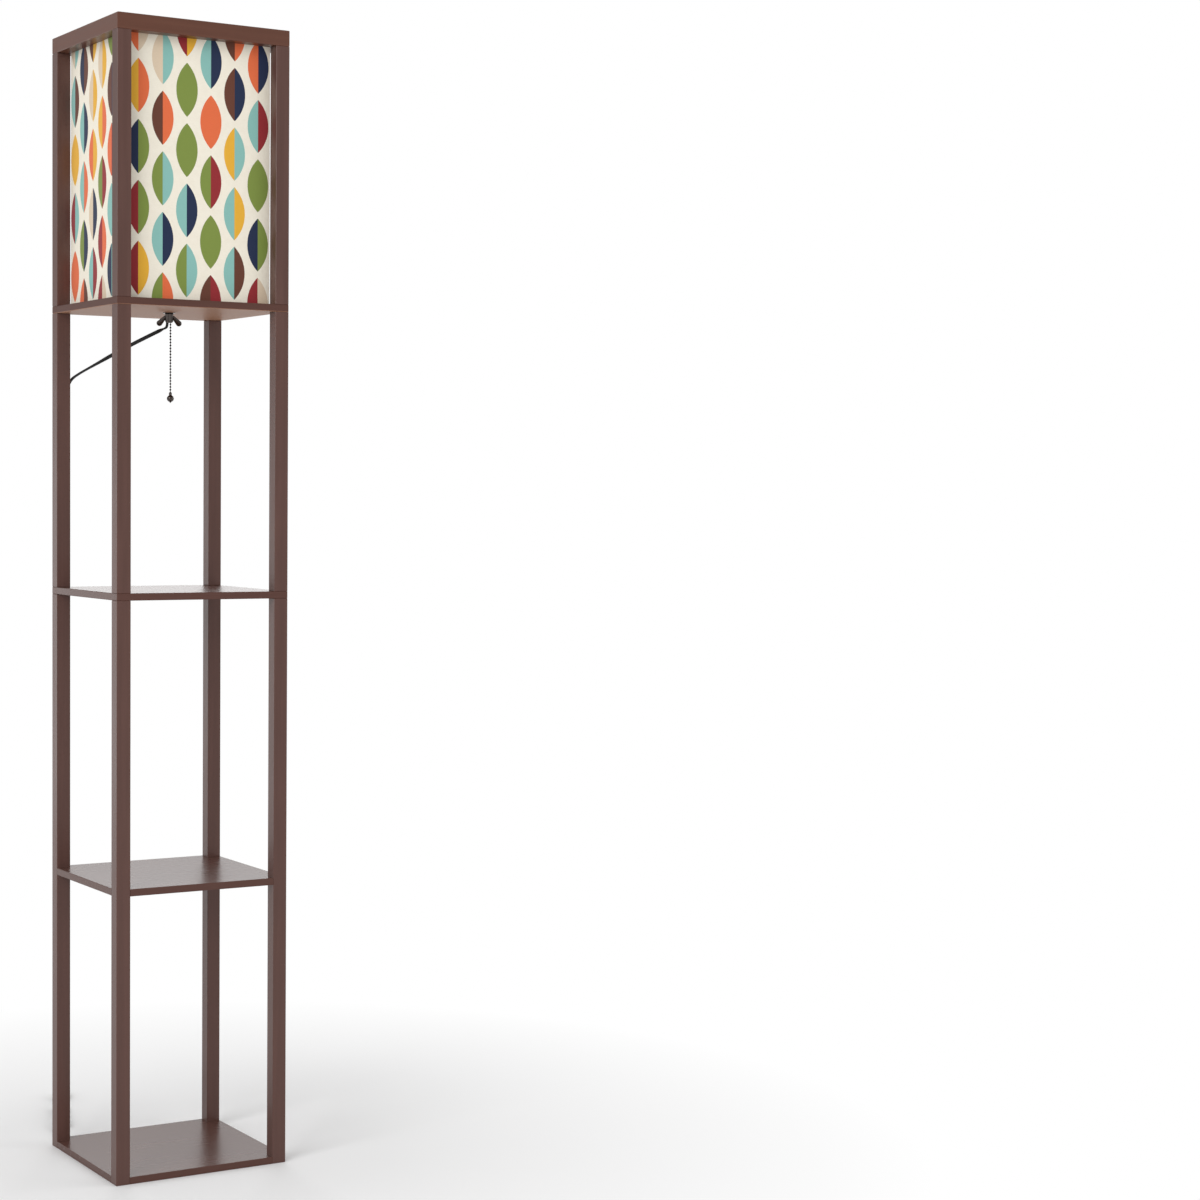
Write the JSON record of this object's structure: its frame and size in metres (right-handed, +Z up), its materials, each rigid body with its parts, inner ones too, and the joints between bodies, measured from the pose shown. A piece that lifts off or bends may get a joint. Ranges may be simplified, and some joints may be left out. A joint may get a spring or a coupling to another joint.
{
  "type": "shelf floor lamp",
  "caption": "Square wooden shelf tower with open shelves, a printed fabric box shade inside its top, and a pull-chain lamp holder.",
  "frame": {"origin": "middle of the square footprint, on the floor", "axes": "+X along the front to the right, +Y to the back, +Z up along the tower"},
  "size_m": [0.254, 0.5464, 1.6],
  "materials": {
    "brown_wood": "semi-gloss dark brown paint on wood",
    "bare_wood": "bare glued pins",
    "zinc_steel": "zinc plated",
    "printed_linen": "cream linen weave with a printed leaf pattern",
    "shade_backing": "white translucent backing",
    "frame_wire": "white coated wire",
    "black_chrome": "dark nickel, polished",
    "holder_metal": "black enamel",
    "paper_tube": "pressed paper",
    "black_moulding": "moulded black plastic",
    "bright_metal": "nickelled brass",
    "opal_glass": "opal white",
    "black_cord": "soft black cord and its moulded bend"
  },
  "bodies": {
    "tower": {"base_board": "brown_wood", "lower_shelf": "brown_wood", "middle_shelf": "brown_wood", "lamp_plate": "brown_wood", "lower_post_front_left": "brown_wood", "lower_post_front_right": "brown_wood", "lower_post_back_left": "brown_wood", "lower_post_back_right": "brown_wood", "upper_post_front_left": "brown_wood", "upper_post_front_right": "brown_wood", "upper_post_back_left": "brown_wood", "upper_post_back_right": "brown_wood", "shade_post_front_left": "brown_wood", "shade_post_front_right": "brown_wood", "shade_post_back_left": "brown_wood", "shade_post_back_right": "brown_wood", "top_rail_front": "brown_wood", "top_rail_back": "brown_wood", "top_rail_left": "brown_wood", "top_rail_right": "brown_wood", "base_dowels": "bare_wood", "lower_shelf_dowels": "bare_wood", "rail_dowels": "bare_wood", "middle_studs": "zinc_steel", "lamp_plate_studs": "zinc_steel", "shade_fabric": "printed_linen", "shade_liner": "shade_backing", "shade_top_frame": "frame_wire", "shade_bottom_frame": "frame_wire", "nipple": "black_chrome", "washer": "black_chrome", "lock_nut": "zinc_steel", "socket_cap": "holder_metal", "socket_shell": "holder_metal", "socket_liner": "paper_tube", "socket_insulator": "black_moulding", "screw_shell": "bright_metal", "centre_contact": "bright_metal", "lever_pin": "zinc_steel", "cord_lead": "black_cord", "strain_relief": "black_cord", "cord": "black_cord", "cord_hank": "black_cord", "hank_tie": "black_cord", "plug_body": "black_moulding", "plug_blades": "bright_metal", "cable_clips": "black_moulding"},
    "wing_nut": {"wing_nut": "black_chrome"},
    "chain_slide": {"chain_top": "black_chrome"},
    "chain_hang": {"chain_drop": "black_chrome", "pull_ball": "black_chrome"},
    "lever": {"switch_lever": "bright_metal"},
    "bulb": {"bulb_base": "bright_metal", "bulb_glass": "opal_glass"}
  },
  "joints": [
    {"name": "wing_nut_spin", "type": "hinge", "parent": "tower", "child": "wing_nut", "pos_m": [0, 0, 1.2], "axis": [0, 0, 1], "continuous": true},
    {"name": "chain_pull", "type": "slide", "parent": "tower", "child": "chain_slide", "axis": [0, 0, -1], "range_m": [0, 0.008], "stiffness_N_per_m": 150, "springref_m": -0.004},
    {"name": "chain_swing", "type": "hinge", "parent": "chain_slide", "child": "chain_hang", "pos_m": [0.00144, -0.00153, 1.1954], "axis": [-0.6845, 0.729, 0], "range_deg": [-20, 20]},
    {"name": "lever_tip", "type": "hinge", "parent": "tower", "child": "lever", "pos_m": [0.00828, -0.00882, 1.23907], "axis": [-0.729, -0.6845, 0], "range_deg": [0, 46]},
    {"name": "bulb_spin", "type": "hinge", "parent": "tower", "child": "bulb", "pos_m": [0, 0, 1.3], "axis": [0, 0, 1], "continuous": true}
  ],
  "couplings": [
    {"joint": "lever_tip", "follows": "chain_pull", "rad_per_m": 100}
  ]
}
